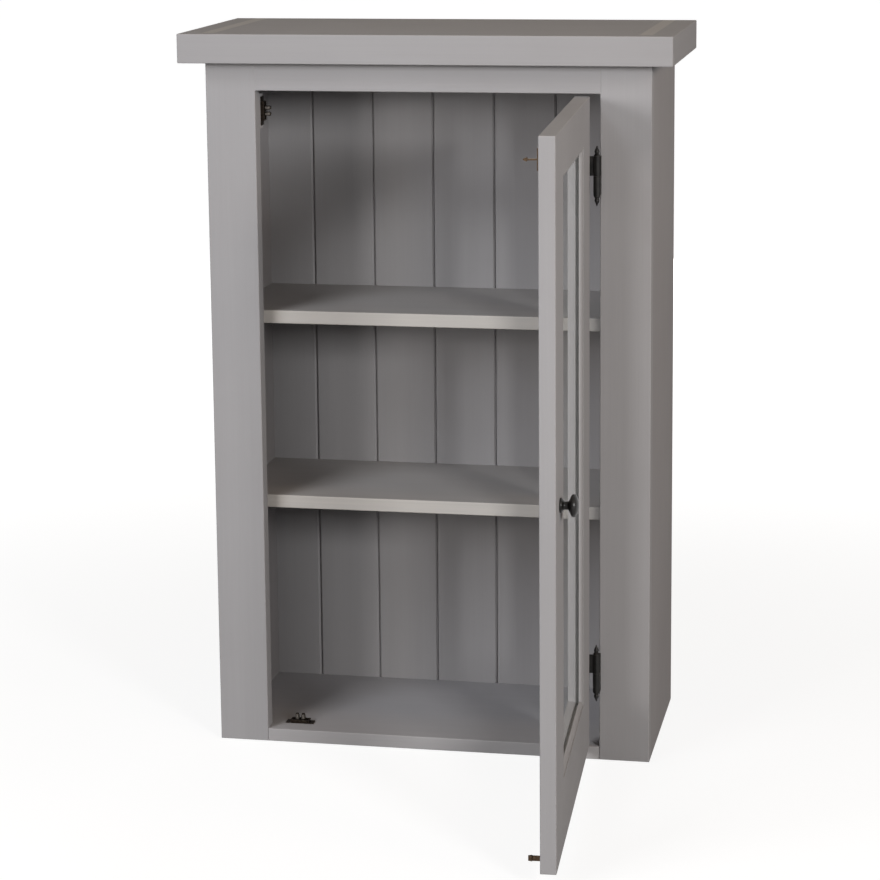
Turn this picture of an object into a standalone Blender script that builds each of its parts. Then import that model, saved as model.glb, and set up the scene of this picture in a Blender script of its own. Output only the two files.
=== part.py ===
"""Painted kitchen wall cupboard with a boarded back, two shelves and one inset glazed door.

Metres, +Z up, -Y towards the room. The origin is the centre of the carcass's underside.
The door hangs on its right-hand hinges and stands open.
"""
import math

import bmesh
import bpy
from mathutils import Matrix, Vector

# Fits
SEAT = 0.0003               # gap between pieces that touch
OVERRUN = 0.002             # how far a cut runs past the surface it opens
COINCIDENT = 0.00001        # points closer than this are one point
ARRIS = 0.0012              # radius of an eased edge
ARRIS_SEGMENTS = 2
SMOOTH_ANGLE = 35.0         # degrees; flatter edges of turned work are shaded smooth

# Carcass
CARCASS_WIDTH = 0.600
CARCASS_HEIGHT = 0.945
CARCASS_DEPTH = 0.275
SIDE_THICKNESS = 0.020
BASE_THICKNESS = 0.018
HOUSING_DEPTH = 0.006       # how far the shelves and the base run into the sides
INTERIOR_DEPTH = 0.250      # front of the frame to the face of the back boards

# Face frame
FRAME_THICKNESS = 0.022
STILE_WIDTH = 0.068
TOP_RAIL_HEIGHT = 0.038
FRAME_TENON_LENGTH = 0.020
FRAME_TENON_THICKNESS = 0.008
FRAME_TENON_SHOULDER = 0.006

# Top slab
TOP_THICKNESS = 0.039
TOP_SIDE_OVERHANG = 0.030
TOP_FRONT_OVERHANG = 0.030
CLEAT_WIDTH = 0.054
LIPPING_WIDTH = 0.020
TOP_TONGUE_LENGTH = 0.010
TOP_TONGUE_THICKNESS = 0.012

# Back boards
BOARD_THICKNESS = 0.015
BOARD_PITCH = 0.088
FIRST_BOARD_WIDTH = 0.0645  # visible width of the board cut to fit at the left
BOARD_REBATE = 0.008        # how far the outer boards run behind the sides
BOARD_GAP = 0.0010
BOARD_CHAMFER = 0.0022
BOARD_TONGUE_LENGTH = 0.006
BOARD_TONGUE_THICKNESS = 0.005
HANGING_RAIL_HEIGHT = 0.055
HANGING_RAIL_THICKNESS = 0.018

# Shelves
SHELF_THICKNESS = 0.018
SHELF_SETBACK = 0.032       # front of the frame to the front of a shelf
LOWER_SHELF_TOP = 0.345
UPPER_SHELF_TOP = 0.604

# Door
DOOR_OPEN_ANGLE = 93.0      # degrees from closed, as it stands
DOOR_GAP = 0.0025
DOOR_THICKNESS = 0.020
DOOR_SETBACK = 0.003        # door face behind the frame's face
DOOR_STILE_WIDTH = 0.090
DOOR_TOP_RAIL_HEIGHT = 0.056
DOOR_BOTTOM_RAIL_HEIGHT = 0.088
GLASS_THICKNESS = 0.004
GLASS_RECESS = 0.006        # glass behind the door's face
GLASS_REBATE = 0.007        # lip behind the glass, past the frame's inner edge
GLASS_PLAY = 0.001          # room round the glass in its rebate
DOOR_TENON_LENGTH = 0.025
DOOR_TENON_THICKNESS = 0.006
DOOR_TENON_SHOULDER = 0.012
BEAD_WIDTH = 0.0065         # quarter-round strip that holds the glass
BEAD_SINK = 0.0010          # top of the strip below the door's face
BEAD_SEGMENTS = 5

# Knob
KNOB_INSET = 0.045          # free edge of the door to the knob's axis
KNOB_PROJECTION = 0.0225
KNOB_ROSE_RADIUS = 0.009
KNOB_ROSE_THICKNESS = 0.0014
KNOB_STEM_RADIUS = 0.0048
KNOB_STEM_START = 0.0060
KNOB_STEM_END = 0.0092
KNOB_HEAD_RADIUS = 0.0135
KNOB_RIM_START = 0.0150
KNOB_RIM_END = 0.0168
KNOB_SIDES = 28
KNOB_BOLT_RADIUS = 0.0020
KNOB_BOLT_DEPTH = 0.012     # how far the bolt runs into the knob
KNOB_BOLT_HEAD_RADIUS = 0.0042
KNOB_BOLT_HEAD_HEIGHT = 0.0022

# Hinges
HINGE_END_DISTANCE = 0.104  # door's top or bottom edge to the middle of a hinge
HINGE_HEIGHT = 0.052
BARREL_RADIUS = 0.00475
HINGE_PIN_RADIUS = 0.0024
KNUCKLE_CAP = 0.005         # solid end of the door's knuckle above the pin
PIN_PROUD = 0.0065          # pin axis in front of the frame's face
LEAF_THICKNESS = 0.0015
LEAF_WIDTH = 0.0155
FINIAL_COLLAR_RADIUS = 0.0041
FINIAL_COLLAR_HEIGHT = 0.0016
FINIAL_NECK_RADIUS = 0.0024
FINIAL_NECK_HEIGHT = 0.0014
FINIAL_BULB_RADIUS = 0.0034
FINIAL_BULB_HEIGHT = 0.0027
FINIAL_POINT_HEIGHT = 0.0078
FINIAL_TIP_RADIUS = 0.0006
BARREL_SIDES = 20

# Countersunk holes for the screws of the hinges, catches and strikes
SCREW_HEAD_RADIUS = 0.0024
SCREW_HEAD_HEIGHT = 0.0008
SCREW_SHANK_RADIUS = 0.0013
SCREW_LENGTH = 0.012
SCREW_SIDES = 12
HINGE_SCREW_SPACING = 0.030

# Roller catches
UPPER_CATCH_DROP = 0.030    # top of the opening to the middle of the upper catch
LOWER_CATCH_INSET = 0.038   # left edge of the opening to the middle of the lower catch
ROLLER_SETBACK = 0.010      # inner face of the shut door to the roller axes
CATCH_PLATE_LENGTH = 0.0390
CATCH_PLATE_DEPTH = 0.0130
CATCH_PLATE_THICKNESS = 0.0012
CATCH_SCREW_SPACING = 0.0325
CHANNEL_LENGTH = 0.0260
CHANNEL_WALL = 0.0010
CHANNEL_FLANGE = 0.0018
JAW_LENGTH = 0.0064
JAW_THICKNESS = 0.0020
JAW_GAP = 0.0020            # between the two jaws at rest
ROLLER_RADIUS = 0.0030
ROLLER_LENGTH = 0.0065
ROLLER_PIN_RADIUS = 0.0013
ROLLER_SHOULDER_RADIUS = 0.0022
ROLLER_HEAD_RADIUS = 0.0022
ROLLER_HEAD_THICKNESS = 0.0010
ROLLER_CHAMFER = 0.0004
ROLLER_SIDES = 20
SPRING_RADIUS = 0.00085     # middle of the wire
SPRING_WIRE_RADIUS = 0.00025
SPRING_TURNS = 3.5
SPRING_POINTS_PER_TURN = 10
CATCH_BLOCK_HEIGHT = 0.048
CATCH_BLOCK_DEPTH = 0.018

# Strikes
STRIKE_PLATE_LENGTH = 0.026
STRIKE_PLATE_THICKNESS = 0.0012
STRIKE_WIDTH = 0.008
STRIKE_SCREW_SPACING = 0.018
STRIKE_NECK_THICKNESS = 0.0018
STRIKE_HEAD_WIDTH = 0.0050
STRIKE_HEAD_SLOPE = 0.0010
STRIKE_HEAD_LENGTH = 0.0045
STRIKE_TIP_WIDTH = 0.0014

# Places worked out from the sizes above
HALF_WIDTH = CARCASS_WIDTH / 2
FRONT = -CARCASS_DEPTH / 2
BACK = CARCASS_DEPTH / 2
FRAME_BACK = FRONT + FRAME_THICKNESS
OPENING = HALF_WIDTH - STILE_WIDTH
OPENING_TOP = CARCASS_HEIGHT - TOP_RAIL_HEIGHT
INNER = HALF_WIDTH - SIDE_THICKNESS
BOARDS_FRONT = FRONT + INTERIOR_DEPTH
BOARDS_BACK = BOARDS_FRONT + BOARD_THICKNESS
HOUSED = INNER + HOUSING_DEPTH - SEAT

DOOR_FREE_EDGE = -OPENING + DOOR_GAP
DOOR_HINGE_EDGE = OPENING - DOOR_GAP
DOOR_BOTTOM = BASE_THICKNESS + DOOR_GAP
DOOR_TOP = OPENING_TOP - DOOR_GAP
DOOR_FACE = FRONT + DOOR_SETBACK
DOOR_INSIDE = DOOR_FACE + DOOR_THICKNESS
KNOB_HEIGHT = (DOOR_BOTTOM + DOOR_TOP) / 2
GLASS_FACE = DOOR_FACE + GLASS_RECESS
GLASS_BACK = GLASS_FACE + GLASS_THICKNESS
GLASS_LEFT = DOOR_FREE_EDGE + DOOR_STILE_WIDTH
GLASS_RIGHT = DOOR_HINGE_EDGE - DOOR_STILE_WIDTH
GLASS_BOTTOM = DOOR_BOTTOM + DOOR_BOTTOM_RAIL_HEIGHT
GLASS_TOP = DOOR_TOP - DOOR_TOP_RAIL_HEIGHT

PIN_X = OPENING + LEAF_THICKNESS - BARREL_RADIUS
PIN_Y = FRONT - PIN_PROUD
PIN_REACH = HINGE_HEIGHT / 2 - KNUCKLE_CAP
HINGE_MIDDLES = {
    "upper": DOOR_TOP - HINGE_END_DISTANCE,
    "lower": DOOR_BOTTOM + HINGE_END_DISTANCE,
}

JAW_BOTTOM = CATCH_PLATE_THICKNESS + SEAT
JAW_TOP = JAW_BOTTOM + JAW_THICKNESS
FLANGE_BOTTOM = JAW_TOP + SEAT
FLANGE_TOP = FLANGE_BOTTOM + CHANNEL_WALL
ROLLER_BOTTOM = FLANGE_TOP + SEAT
ROLLER_TOP = ROLLER_BOTTOM + ROLLER_LENGTH
ROLLER_MIDDLE = (ROLLER_BOTTOM + ROLLER_TOP) / 2
ROLLER_BORE = ROLLER_PIN_RADIUS + SEAT
JAW_MIDDLE = JAW_GAP / 2 + JAW_LENGTH / 2
JAW_END = JAW_GAP / 2 + JAW_LENGTH
CATCH_Y = DOOR_INSIDE + ROLLER_SETBACK
UPPER_CATCH_HEIGHT = OPENING_TOP - UPPER_CATCH_DROP
LOWER_CATCH_X = -OPENING + LOWER_CATCH_INSET

DOOR_PIVOT = Vector((PIN_X, PIN_Y, 0.0))
LOWER_CATCH = Matrix.Translation((LOWER_CATCH_X, CATCH_Y, BASE_THICKNESS + SEAT))
# The upper catch lies on a side wall: its long way is upright and its rollers point across the opening.
UPRIGHT = Matrix(((0, 0, 1), (0, 1, 0), (-1, 0, 0))).to_4x4()
UPPER_CATCH = Matrix.Translation((-OPENING + SEAT, CATCH_Y, UPPER_CATCH_HEIGHT)) @ UPRIGHT
CATCHES = {"upper": UPPER_CATCH, "lower": LOWER_CATCH}

# Looks: colour, roughness, metallic
FINISHES = {
    "grey_paint": ((0.36, 0.355, 0.365, 1.0), 0.5, 0.0),
    "black_iron": ((0.02, 0.02, 0.02, 1.0), 0.4, 0.8),
    "dark_bronze": ((0.12, 0.09, 0.06, 1.0), 0.4, 0.9),
    "spring_steel": ((0.5, 0.5, 0.5, 1.0), 0.3, 1.0),
    "clear_glass": ((0.80, 0.84, 0.83, 1.0), 0.05, 0.0),
}


# Solids

def prism(outline, low, high, axis="z"):
    """Sweep an outline, drawn square to an axis, along that axis."""
    place = {
        "x": lambda u, v, t: (t, u, v),
        "y": lambda u, v, t: (u, t, v),
        "z": lambda u, v, t: (u, v, t),
    }[axis]
    bm = bmesh.new()
    start = [bm.verts.new(place(u, v, low)) for u, v in outline]
    end = [bm.verts.new(place(u, v, high)) for u, v in outline]
    bm.faces.new(start)
    bm.faces.new(end)
    count = len(outline)
    for i in range(count):
        j = (i + 1) % count
        bm.faces.new((start[i], start[j], end[j], end[i]))
    bmesh.ops.recalc_face_normals(bm, faces=bm.faces)
    return bm


def box(x, y, z):
    """Block between a low and a high value on each axis."""
    outline = [(x[0], y[0]), (x[1], y[0]), (x[1], y[1]), (x[0], y[1])]
    return prism(outline, z[0], z[1])


def turned(profile, sides, ring=False):
    """Turn (radius, height) points about +Z. A ring's profile closes on itself off the axis."""
    bm = bmesh.new()
    rings = []
    for radius, height in profile:
        if radius == 0:
            rings.append([bm.verts.new((0, 0, height))])
            continue
        angles = [2 * math.pi * i / sides for i in range(sides)]
        rings.append([bm.verts.new((radius * math.cos(a), radius * math.sin(a), height)) for a in angles])
    pairs = list(zip(rings, rings[1:]))
    if ring:
        pairs.append((rings[-1], rings[0]))
    for first, second in pairs:
        for i in range(sides):
            j = (i + 1) % sides
            if len(first) == 1:
                bm.faces.new((first[0], second[j], second[i]))
            elif len(second) == 1:
                bm.faces.new((first[i], first[j], second[0]))
            else:
                bm.faces.new((first[i], first[j], second[j], second[i]))
    bmesh.ops.recalc_face_normals(bm, faces=bm.faces)
    return bm


def moved(bm, place):
    """Move a solid by a vector or a matrix."""
    matrix = place if isinstance(place, Matrix) else Matrix.Translation(place)
    bmesh.ops.transform(bm, matrix=matrix, verts=bm.verts)
    return bm


def ease(bm, *corners):
    """Round the outer edges where two named sides meet, such as "-y +z"."""
    low = [min(v.co[i] for v in bm.verts) for i in range(3)]
    high = [max(v.co[i] for v in bm.verts) for i in range(3)]

    def lies_on(vert, side):
        axis = "xyz".index(side[1])
        limit = low[axis] if side[0] == "-" else high[axis]
        return abs(vert.co[axis] - limit) < COINCIDENT

    edges = []
    for edge in bm.edges:
        for corner in corners:
            if all(lies_on(vert, side) for vert in edge.verts for side in corner.split()):
                edges.append(edge)
                break
    bmesh.ops.bevel(bm, geom=edges, offset=ARRIS, segments=ARRIS_SEGMENTS, profile=0.5, affect="EDGES")
    return bm


def temporary(*solids):
    """Put solids in the scene as one object for as long as a cut needs it."""
    mesh = bpy.data.meshes.new("temporary")
    group = bmesh.new()
    for bm in solids:
        bm.to_mesh(mesh)
        bm.free()
        group.from_mesh(mesh)
    group.to_mesh(mesh)
    group.free()
    obj = bpy.data.objects.new("temporary", mesh)
    bpy.context.scene.collection.objects.link(obj)
    return obj


def combine(base, tools, operation):
    """Join solids to a base, or cut them out of it. The solids may overlap each other."""
    target = temporary(base)
    cutter = temporary(*tools)
    modifier = target.modifiers.new("combine", "BOOLEAN")
    modifier.operation = operation
    modifier.solver = "EXACT"
    modifier.use_self = True
    modifier.object = cutter
    bpy.context.view_layer.update()
    graph = bpy.context.evaluated_depsgraph_get()
    result = bpy.data.meshes.new_from_object(target.evaluated_get(graph))
    combined = bmesh.new()
    combined.from_mesh(result)
    bmesh.ops.remove_doubles(combined, verts=combined.verts, dist=COINCIDENT / 10)
    for obj in (target, cutter):
        mesh = obj.data
        bpy.data.objects.remove(obj)
        bpy.data.meshes.remove(mesh)
    bpy.data.meshes.remove(result)
    return combined


def join(base, *tools):
    return combine(base, tools, "UNION")


def cut(base, *tools):
    return combine(base, tools, "DIFFERENCE")


# Objects

def make_materials():
    materials = {}
    for name, (colour, roughness, metallic) in FINISHES.items():
        material = bpy.data.materials.new(name)
        material.use_nodes = True
        shader = material.node_tree.nodes["Principled BSDF"]
        shader.inputs["Base Color"].default_value = colour
        shader.inputs["Roughness"].default_value = roughness
        shader.inputs["Metallic"].default_value = metallic
        materials[name] = material
    return materials


def add_empty(name, matrix):
    empty = bpy.data.objects.new(name, None)
    bpy.context.scene.collection.objects.link(empty)
    empty.matrix_world = matrix
    return empty


class Maker:
    """Turns solids into named objects with a finish and a parent."""

    def __init__(self):
        self.materials = make_materials()
        turn = Matrix.Rotation(math.radians(DOOR_OPEN_ANGLE), 4, "Z")
        self.door_pivot = add_empty("door_pivot", Matrix.Translation(DOOR_PIVOT) @ turn)
        self.catch_mounts = {
            side: add_empty(side + "_catch_mount", matrix) for side, matrix in CATCHES.items()
        }

    def link(self, obj, finish, parent, location):
        obj.data.materials.append(self.materials[finish].copy())
        obj.active_material.name = obj.name + "_" + finish
        bpy.context.scene.collection.objects.link(obj)
        obj.parent = parent
        obj.location = location
        return obj

    def add(self, name, bm, finish="grey_paint", parent=None, location=(0, 0, 0), smooth=False):
        mesh = bpy.data.meshes.new(name)
        bm.to_mesh(mesh)
        bm.free()
        if smooth:
            mesh.shade_smooth()
            mesh.set_sharp_from_angle(angle=math.radians(SMOOTH_ANGLE))
        return self.link(bpy.data.objects.new(name, mesh), finish, parent, location)

    def add_to_door(self, name, bm, finish="grey_paint", smooth=False):
        """A door piece is drawn where it lies with the door shut, then hung on the pivot."""
        return self.add(name, moved(bm, -DOOR_PIVOT), finish, self.door_pivot, smooth=smooth)


# Screw holes

def screw_hole(place):
    """Countersunk hole that runs from the origin of its place along that place's +Z."""
    profile = [
        (0, -OVERRUN),
        (SCREW_HEAD_RADIUS + SEAT, -OVERRUN),
        (SCREW_HEAD_RADIUS + SEAT, 0),
        (SCREW_SHANK_RADIUS + SEAT, SCREW_HEAD_HEIGHT + SEAT),
        (SCREW_SHANK_RADIUS + SEAT, SCREW_LENGTH + SEAT),
        (0, SCREW_LENGTH + SEAT),
    ]
    return moved(turned(profile, SCREW_SIDES), place)


def pointing(location, direction):
    """Matrix that stands +Z along a direction at a location."""
    turn = Vector(direction).to_track_quat("Z", "Y").to_matrix().to_4x4()
    return Matrix.Translation(location) @ turn


def frame_screw_places(middle):
    y = FRONT + LEAF_WIDTH / 2
    return [pointing((OPENING, y, middle + s * HINGE_SCREW_SPACING / 2), (1, 0, 0)) for s in (-1, 1)]


def door_screw_places(middle):
    y = DOOR_FACE + LEAF_WIDTH / 2
    return [pointing((DOOR_HINGE_EDGE, y, middle + s * HINGE_SCREW_SPACING / 2), (-1, 0, 0)) for s in (-1, 1)]


def catch_screw_places(side):
    down = pointing((0, 0, CATCH_PLATE_THICKNESS), (0, 0, -1))
    return [
        CATCHES[side] @ Matrix.Translation((s * CATCH_SCREW_SPACING / 2, 0, 0)) @ down for s in (-1, 1)
    ]


def strike_matrix(side):
    """Where a strike's plate lies on the shut door: its spear is in line with the catch's rollers."""
    catch = CATCHES[side]
    middle = catch @ Vector((0, 0, ROLLER_MIDDLE))
    middle.y = DOOR_INSIDE + SEAT
    return Matrix.Translation(middle) @ catch.to_3x3().to_4x4()


def strike_screw_places(side):
    inward = pointing((0, STRIKE_PLATE_THICKNESS, 0), (0, -1, 0))
    return [
        strike_matrix(side) @ Matrix.Translation((s * STRIKE_SCREW_SPACING / 2, 0, 0)) @ inward
        for s in (-1, 1)
    ]


# Face frame

def frame_tenon(sign, slack):
    x = sorted((sign * (OPENING - OVERRUN), sign * (OPENING + FRAME_TENON_LENGTH + slack)))
    middle = FRONT + FRAME_THICKNESS / 2
    half = FRAME_TENON_THICKNESS / 2 + slack
    z = (OPENING_TOP + FRAME_TENON_SHOULDER - slack, CARCASS_HEIGHT - FRAME_TENON_SHOULDER + slack)
    return box(x, (middle - half, middle + half), z)


def frame_stile(sign):
    x = sorted((sign * OPENING, sign * HALF_WIDTH))
    outer = "-x" if sign < 0 else "+x"
    inner = "+x" if sign < 0 else "-x"
    stile = box(x, (FRONT, FRAME_BACK), (0, CARCASS_HEIGHT))
    ease(stile, outer + " -y", inner + " -y", "-y -z")
    return cut(stile, frame_tenon(sign, SEAT))


def add_face_frame(maker):
    maker.add("left_stile", frame_stile(-1))

    right = frame_stile(1)
    for middle in HINGE_MIDDLES.values():
        half = HINGE_HEIGHT / 2 + SEAT
        recess = box(
            (OPENING - OVERRUN, OPENING + LEAF_THICKNESS + SEAT),
            (FRONT - OVERRUN, FRONT + LEAF_WIDTH + SEAT),
            (middle - half, middle + half),
        )
        right = cut(right, recess, *[screw_hole(place) for place in frame_screw_places(middle)])
    maker.add("right_stile", right)

    length = OPENING - SEAT
    rail = box((-length, length), (FRONT, FRAME_BACK), (OPENING_TOP, CARCASS_HEIGHT))
    ease(rail, "-y -z")
    maker.add("face_frame_rail", join(rail, frame_tenon(-1, 0), frame_tenon(1, 0)))


# Carcass

def shelf_z(top):
    return (top - SHELF_THICKNESS, top)


def side_panel(sign):
    """Side with a rebate for the back boards and housings for the base and the shelves."""
    front = FRAME_BACK + SEAT
    rebate = INNER + BOARD_REBATE
    outline = [
        (sign * HALF_WIDTH, front),
        (sign * INNER, front),
        (sign * INNER, BOARDS_FRONT),
        (sign * rebate, BOARDS_FRONT),
        (sign * rebate, BACK),
        (sign * HALF_WIDTH, BACK),
    ]
    panel = prism(outline, 0, CARCASS_HEIGHT)
    x = sorted((sign * (INNER - OVERRUN), sign * (INNER + HOUSING_DEPTH)))
    back = BOARDS_FRONT + OVERRUN
    housings = [box(x, (front - OVERRUN, back), (-OVERRUN, BASE_THICKNESS + SEAT))]
    for top in (LOWER_SHELF_TOP, UPPER_SHELF_TOP):
        low, high = shelf_z(top)
        housings.append(box(x, (FRONT + SHELF_SETBACK - SEAT, back), (low - SEAT, high + SEAT)))
    return cut(panel, *housings)


def add_carcass(maker):
    maker.add("left_side", side_panel(-1))
    maker.add("right_side", side_panel(1))

    front = OPENING - SEAT
    notch = FRAME_BACK + SEAT
    back = BOARDS_FRONT - SEAT
    outline = [
        (-front, FRONT),
        (front, FRONT),
        (front, notch),
        (HOUSED, notch),
        (HOUSED, back),
        (-HOUSED, back),
        (-HOUSED, notch),
        (-front, notch),
    ]
    base = ease(prism(outline, 0, BASE_THICKNESS), "-y +z", "-y -z")
    maker.add("base_board", cut(base, *[screw_hole(place) for place in catch_screw_places("lower")]))

    for name, top in (("lower_shelf", LOWER_SHELF_TOP), ("upper_shelf", UPPER_SHELF_TOP)):
        shelf = box((-HOUSED, HOUSED), (FRONT + SHELF_SETBACK, back), shelf_z(top))
        maker.add(name, ease(shelf, "-y +z", "-y -z"))

    rail = box(
        (-INNER + SEAT, INNER - SEAT),
        (back - HANGING_RAIL_THICKNESS, back),
        (CARCASS_HEIGHT - HANGING_RAIL_HEIGHT, CARCASS_HEIGHT),
    )
    maker.add("hanging_rail", ease(rail, "-y -z"))

    half = CATCH_BLOCK_HEIGHT / 2
    y = FRAME_BACK + SEAT
    block = box(
        (-INNER + SEAT, -OPENING),
        (y, y + CATCH_BLOCK_DEPTH),
        (UPPER_CATCH_HEIGHT - half, UPPER_CATCH_HEIGHT + half),
    )
    ease(block, "+x +y", "+x -z", "+x +z", "+y -z")
    maker.add("catch_block", cut(block, *[screw_hole(place) for place in catch_screw_places("upper")]))


# Back boards

def back_board(left, right, has_groove, has_tongue):
    """Upright board: groove on its left edge, tongue on its right, chamfered where it meets the next."""
    tongue = BOARD_TONGUE_THICKNESS / 2
    groove = tongue + SEAT
    depth = BOARD_TONGUE_LENGTH + SEAT
    middle = (BOARDS_FRONT + BOARDS_BACK) / 2
    front = BOARDS_FRONT
    outline = []
    if has_tongue:
        outline += [
            (right - BOARD_CHAMFER, front),
            (right, front + BOARD_CHAMFER),
            (right, middle - tongue),
            (right + BOARD_TONGUE_LENGTH, middle - tongue),
            (right + BOARD_TONGUE_LENGTH, middle + tongue),
            (right, middle + tongue),
            (right, BOARDS_BACK),
        ]
    else:
        outline += [(right, front), (right, BOARDS_BACK)]
    if has_groove:
        outline += [
            (left, BOARDS_BACK),
            (left, middle + groove),
            (left + depth, middle + groove),
            (left + depth, middle - groove),
            (left, middle - groove),
            (left, front + BOARD_CHAMFER),
            (left + BOARD_CHAMFER, front),
        ]
    else:
        outline += [(left, BOARDS_BACK), (left, front)]
    return prism(outline, 0, CARCASS_HEIGHT)


def add_back_boards(maker):
    edge = INNER + BOARD_REBATE - SEAT
    joints = []
    x = -INNER + FIRST_BOARD_WIDTH
    while x < INNER - BOARD_TONGUE_LENGTH:
        joints.append(x)
        x += BOARD_PITCH
    lefts = [-edge] + [joint + BOARD_GAP / 2 for joint in joints]
    rights = [joint - BOARD_GAP / 2 for joint in joints] + [edge]
    last = len(lefts) - 1
    for i, (left, right) in enumerate(zip(lefts, rights)):
        maker.add("back_board_%d" % (i + 1), back_board(left, right, i > 0, i < last))


# Top slab

def add_top(maker):
    end = HALF_WIDTH + TOP_SIDE_OVERHANG
    front = FRONT - TOP_FRONT_OVERHANG
    seam = front + LIPPING_WIDTH
    z = (CARCASS_HEIGHT + SEAT, CARCASS_HEIGHT + SEAT + TOP_THICKNESS)
    middle = (z[0] + z[1]) / 2

    lipping = box((-end, end), (front, seam - SEAT), z)
    edges = ["-y +z", "-y -z", "-y -x", "-y +x", "-x +z", "+x +z", "-x -z", "+x -z"]
    maker.add("top_front_lipping", ease(lipping, *edges))

    shoulder = end - CLEAT_WIDTH
    half = TOP_TONGUE_THICKNESS / 2
    board = box((-shoulder + SEAT, shoulder - SEAT), (seam, BACK), z)
    ease(board, "+y +z")
    for side, sign in (("left", -1), ("right", 1)):
        x = sorted((sign * end, sign * shoulder))
        outer = "-x" if sign < 0 else "+x"
        cleat = ease(box(x, (seam, BACK), z), outer + " +z", outer + " -z", outer + " +y", "+y +z")
        reach = shoulder + TOP_TONGUE_LENGTH
        groove_x = sorted((sign * (shoulder - OVERRUN), sign * (reach + SEAT)))
        groove_z = (middle - half - SEAT, middle + half + SEAT)
        groove = box(groove_x, (seam - OVERRUN, BACK + OVERRUN), groove_z)
        maker.add("top_cleat_" + side, cut(cleat, groove))
        tongue_x = sorted((sign * (shoulder - OVERRUN), sign * reach))
        board = join(board, box(tongue_x, (seam, BACK), (middle - half, middle + half)))
    maker.add("top_board", board)


# Door

def door_tenon(end, sign, low, high, slack):
    """Tenon of the rail between two heights, in the stile that lies from x = end towards sign."""
    middle = (DOOR_FACE + DOOR_INSIDE) / 2
    half = DOOR_TENON_THICKNESS / 2 + slack
    x = sorted((end + sign * (DOOR_TENON_LENGTH + slack), end - sign * (GLASS_REBATE + OVERRUN)))
    shoulder = DOOR_TENON_SHOULDER - slack
    return box(x, (middle - half, middle + half), (low + shoulder, high - shoulder))


def door_stile(outer, inner):
    """Upright of the door, rebated for the glass, from its outer edge's x to its inner edge's x."""
    sign = 1 if inner > outer else -1
    lip = inner + sign * GLASS_REBATE
    outline = [
        (outer, DOOR_FACE),
        (inner, DOOR_FACE),
        (inner, GLASS_BACK + SEAT),
        (lip, GLASS_BACK + SEAT),
        (lip, DOOR_INSIDE),
        (outer, DOOR_INSIDE),
    ]
    stile = prism(outline, DOOR_BOTTOM, DOOR_TOP)
    edge = "-x" if sign > 0 else "+x"
    ease(stile, edge + " -y", edge + " +y", edge + " -z", edge + " +z", "-y +z", "-y -z", "+y +z")
    rails = ((DOOR_BOTTOM, GLASS_BOTTOM), (GLASS_TOP, DOOR_TOP))
    return cut(stile, *[door_tenon(inner, -sign, low, high, SEAT) for low, high in rails])


def door_rail(outer, inner):
    """Cross piece of the door: rebated for the glass, notched over the stiles' lips and tenoned into them."""
    sign = 1 if inner > outer else -1
    lip = inner + sign * GLASS_REBATE
    left = GLASS_LEFT + SEAT
    right = GLASS_RIGHT - SEAT
    low, high = sorted((outer, lip))
    rail = box((left, right), (DOOR_FACE, DOOR_INSIDE), (low, high))
    edge = "-z" if sign > 0 else "+z"
    ease(rail, "-y " + edge, "+y " + edge)
    rebate = box(
        (left - OVERRUN, right + OVERRUN),
        (DOOR_FACE - OVERRUN, GLASS_BACK + SEAT),
        sorted((inner, lip + sign * OVERRUN)),
    )
    notches = [
        box(x, (GLASS_BACK, DOOR_INSIDE + OVERRUN), (low - OVERRUN, high + OVERRUN))
        for x in ((left - OVERRUN, left + GLASS_REBATE), (right - GLASS_REBATE, right + OVERRUN))
    ]
    rail = cut(rail, rebate, *notches)
    face = sorted((outer, inner))
    return join(rail, *[door_tenon(end, way, *face, 0) for end, way in ((GLASS_LEFT, -1), (GLASS_RIGHT, 1))])


def bead(length):
    """Quarter-round strip along +X with mitred ends; it lies against a frame edge at z = 0."""
    top = BEAD_SINK
    bottom = GLASS_RECESS - SEAT
    section = [(SEAT, bottom)]
    for i in range(BEAD_SEGMENTS + 1):
        angle = math.pi / 2 * i / BEAD_SEGMENTS
        section.append((SEAT + BEAD_WIDTH * math.sin(angle), bottom - (bottom - top) * math.cos(angle)))
    mitre = SEAT / math.sqrt(2)
    bm = bmesh.new()
    start = [bm.verts.new((across + mitre, depth, across)) for across, depth in section]
    end = [bm.verts.new((length - across - mitre, depth, across)) for across, depth in section]
    bm.faces.new(start)
    bm.faces.new(end)
    for i in range(len(section)):
        j = (i + 1) % len(section)
        bm.faces.new((start[i], start[j], end[j], end[i]))
    bmesh.ops.recalc_face_normals(bm, faces=bm.faces)
    return bm


def add_beads(maker):
    """Four beads, each starting at a corner of the frame and running to the next."""
    width = GLASS_RIGHT - GLASS_LEFT
    height = GLASS_TOP - GLASS_BOTTOM
    runs = (
        ("bottom", (GLASS_LEFT, GLASS_BOTTOM), width, 0),
        ("hinge", (GLASS_RIGHT, GLASS_BOTTOM), height, -90),
        ("top", (GLASS_RIGHT, GLASS_TOP), width, 180),
        ("free", (GLASS_LEFT, GLASS_TOP), height, 90),
    )
    for side, (x, z), length, angle in runs:
        turn = Matrix.Rotation(math.radians(angle), 4, "Y")
        strip = moved(bead(length), Matrix.Translation((x, DOOR_FACE, z)) @ turn)
        maker.add_to_door("door_bead_" + side, strip, smooth=True)


def knob_bolt_place():
    return pointing((DOOR_FREE_EDGE + KNOB_INSET, DOOR_INSIDE + SEAT, KNOB_HEIGHT), (0, -1, 0))


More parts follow.
